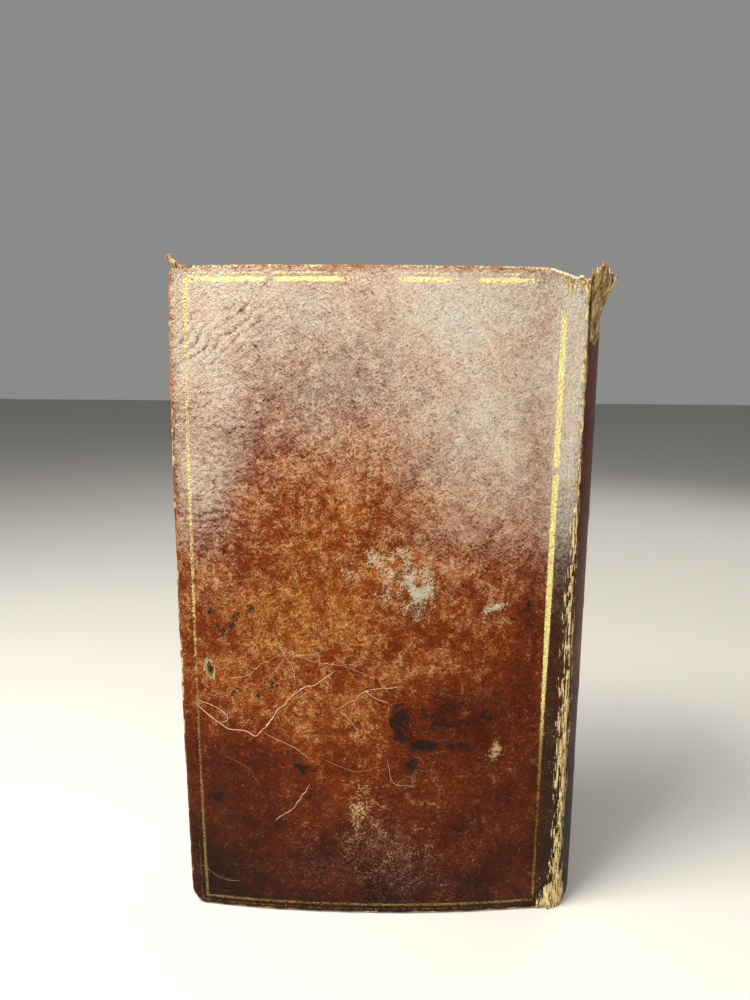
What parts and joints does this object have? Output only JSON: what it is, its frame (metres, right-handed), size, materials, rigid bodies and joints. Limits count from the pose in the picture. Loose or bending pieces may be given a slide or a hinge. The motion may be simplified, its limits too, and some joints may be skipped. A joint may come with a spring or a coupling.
{
  "type": "prayer book",
  "caption": "Small upright prayer book in worn calf over boards, with gilt edge lines, a torn rounded spine, and covers and sewn leaves that open.",
  "frame": {"origin": "middle of the footprint, on the surface that the book stands on", "axes": "+Z from tail to head, +X from the fore edge to the spine, +Y from the back board to the front board"},
  "size_m": [0.1112, 0.0404, 0.1775],
  "materials": {
    "calf_leather": "worn red-brown calf, satin, with gilt lines",
    "pasteboard": "matt laid pasteboard, grey-buff",
    "text_paper": "matt aged rag paper",
    "endpaper": "matt aged laid paper",
    "lining_paper": "matt waste paper with dried paste",
    "hemp_cord": "twisted hemp, dull",
    "linen_thread": "waxed linen thread",
    "silk_thread": "faded silk in two colours"
  },
  "bodies": {
    "spine": {"spine_leather": "calf_leather", "spine_lining": "lining_paper", "sewing_cord_1": "hemp_cord", "sewing_cord_2": "hemp_cord", "sewing_cord_3": "hemp_cord", "sewing_cord_4": "hemp_cord", "sewing_cord_5": "hemp_cord", "head_kettle_stitch": "linen_thread", "head_endband_core": "hemp_cord", "head_endband_silk": "silk_thread", "tail_kettle_stitch": "linen_thread", "tail_endband_core": "hemp_cord", "tail_endband_silk": "silk_thread"},
    "front_cover": {"front_board": "pasteboard", "front_cord_slips": "hemp_cord", "front_cover_leather": "calf_leather", "front_pastedown": "endpaper"},
    "front_free_endpaper": {"front_free_endpaper": "endpaper"},
    "front_flyleaf": {"front_flyleaf": "endpaper"},
    "section_01": {"section_01": "text_paper"},
    "section_02": {"section_02": "text_paper"},
    "section_03": {"section_03": "text_paper"},
    "section_04": {"section_04": "text_paper"},
    "section_05": {"section_05": "text_paper"},
    "section_06": {"section_06": "text_paper"},
    "section_07": {"section_07": "text_paper"},
    "back_cover": {"back_board": "pasteboard", "back_cord_slips": "hemp_cord", "back_cover_leather": "calf_leather", "back_pastedown": "endpaper"},
    "back_free_endpaper": {"back_free_endpaper": "endpaper"},
    "back_flyleaf": {"back_flyleaf": "endpaper"},
    "section_14": {"section_14": "text_paper"},
    "section_13": {"section_13": "text_paper"},
    "section_12": {"section_12": "text_paper"},
    "section_11": {"section_11": "text_paper"},
    "section_10": {"section_10": "text_paper"},
    "section_09": {"section_09": "text_paper"},
    "section_08": {"section_08": "text_paper"}
  },
  "joints": [
    {"name": "front_cover_hinge", "type": "hinge", "parent": "spine", "child": "front_cover", "pos_m": [0.04895, 0.0165, 0], "axis": [0, 0, -1], "range_deg": [0, 180]},
    {"name": "front_free_endpaper_turn", "type": "hinge", "parent": "spine", "child": "front_free_endpaper", "pos_m": [0.0485, 0.0125, 0], "axis": [0, 0, -1], "range_deg": [0, 75.6]},
    {"name": "front_flyleaf_turn", "type": "hinge", "parent": "spine", "child": "front_flyleaf", "pos_m": [0.0485, 0.01203, 0], "axis": [0, 0, -1], "range_deg": [0, 58.5]},
    {"name": "section_01_turn", "type": "hinge", "parent": "spine", "child": "section_01", "pos_m": [0.04872, 0.01073, 0], "axis": [0, 0, -1], "range_deg": [0, 44.1]},
    {"name": "section_02_turn", "type": "hinge", "parent": "spine", "child": "section_02", "pos_m": [0.04923, 0.00907, 0], "axis": [0, 0, -1], "range_deg": [0, 37.8]},
    {"name": "section_03_turn", "type": "hinge", "parent": "spine", "child": "section_03", "pos_m": [0.04966, 0.00743, 0], "axis": [0, 0, -1], "range_deg": [0, 31.5]},
    {"name": "section_04_turn", "type": "hinge", "parent": "spine", "child": "section_04", "pos_m": [0.04999, 0.00577, 0], "axis": [0, 0, -1], "range_deg": [0, 25.2]},
    {"name": "section_05_turn", "type": "hinge", "parent": "spine", "child": "section_05", "pos_m": [0.05024, 0.00413, 0], "axis": [0, 0, -1], "range_deg": [0, 18.9]},
    {"name": "section_06_turn", "type": "hinge", "parent": "spine", "child": "section_06", "pos_m": [0.05041, 0.00248, 0], "axis": [0, 0, -1], "range_deg": [0, 12.6]},
    {"name": "section_07_turn", "type": "hinge", "parent": "spine", "child": "section_07", "pos_m": [0.05049, 0.00082, 0], "axis": [0, 0, -1], "range_deg": [0, 6.3]},
    {"name": "back_cover_hinge", "type": "hinge", "parent": "spine", "child": "back_cover", "pos_m": [0.04895, -0.0165, 0], "axis": [0, 0, 1], "range_deg": [0, 180]},
    {"name": "back_free_endpaper_turn", "type": "hinge", "parent": "spine", "child": "back_free_endpaper", "pos_m": [0.0485, -0.0125, 0], "axis": [0, 0, 1], "range_deg": [0, 75.6]},
    {"name": "back_flyleaf_turn", "type": "hinge", "parent": "spine", "child": "back_flyleaf", "pos_m": [0.0485, -0.01203, 0], "axis": [0, 0, 1], "range_deg": [0, 58.5]},
    {"name": "section_14_turn", "type": "hinge", "parent": "spine", "child": "section_14", "pos_m": [0.04872, -0.01073, 0], "axis": [0, 0, 1], "range_deg": [0, 44.1]},
    {"name": "section_13_turn", "type": "hinge", "parent": "spine", "child": "section_13", "pos_m": [0.04923, -0.00907, 0], "axis": [0, 0, 1], "range_deg": [0, 37.8]},
    {"name": "section_12_turn", "type": "hinge", "parent": "spine", "child": "section_12", "pos_m": [0.04966, -0.00743, 0], "axis": [0, 0, 1], "range_deg": [0, 31.5]},
    {"name": "section_11_turn", "type": "hinge", "parent": "spine", "child": "section_11", "pos_m": [0.04999, -0.00577, 0], "axis": [0, 0, 1], "range_deg": [0, 25.2]},
    {"name": "section_10_turn", "type": "hinge", "parent": "spine", "child": "section_10", "pos_m": [0.05024, -0.00413, 0], "axis": [0, 0, 1], "range_deg": [0, 18.9]},
    {"name": "section_09_turn", "type": "hinge", "parent": "spine", "child": "section_09", "pos_m": [0.05041, -0.00248, 0], "axis": [0, 0, 1], "range_deg": [0, 12.6]},
    {"name": "section_08_turn", "type": "hinge", "parent": "spine", "child": "section_08", "pos_m": [0.05049, -0.00082, 0], "axis": [0, 0, 1], "range_deg": [0, 6.3]}
  ],
  "couplings": [
    {"joint": "front_free_endpaper_turn", "follows": "front_cover_hinge", "ratio": 0.42},
    {"joint": "front_flyleaf_turn", "follows": "front_cover_hinge", "ratio": 0.325},
    {"joint": "section_01_turn", "follows": "front_cover_hinge", "ratio": 0.245},
    {"joint": "section_02_turn", "follows": "front_cover_hinge", "ratio": 0.21},
    {"joint": "section_03_turn", "follows": "front_cover_hinge", "ratio": 0.175},
    {"joint": "section_04_turn", "follows": "front_cover_hinge", "ratio": 0.14},
    {"joint": "section_05_turn", "follows": "front_cover_hinge", "ratio": 0.105},
    {"joint": "section_06_turn", "follows": "front_cover_hinge", "ratio": 0.07},
    {"joint": "section_07_turn", "follows": "front_cover_hinge", "ratio": 0.035},
    {"joint": "back_free_endpaper_turn", "follows": "back_cover_hinge", "ratio": 0.42},
    {"joint": "back_flyleaf_turn", "follows": "back_cover_hinge", "ratio": 0.325},
    {"joint": "section_14_turn", "follows": "back_cover_hinge", "ratio": 0.245},
    {"joint": "section_13_turn", "follows": "back_cover_hinge", "ratio": 0.21},
    {"joint": "section_12_turn", "follows": "back_cover_hinge", "ratio": 0.175},
    {"joint": "section_11_turn", "follows": "back_cover_hinge", "ratio": 0.14},
    {"joint": "section_10_turn", "follows": "back_cover_hinge", "ratio": 0.105},
    {"joint": "section_09_turn", "follows": "back_cover_hinge", "ratio": 0.07},
    {"joint": "section_08_turn", "follows": "back_cover_hinge", "ratio": 0.035}
  ]
}
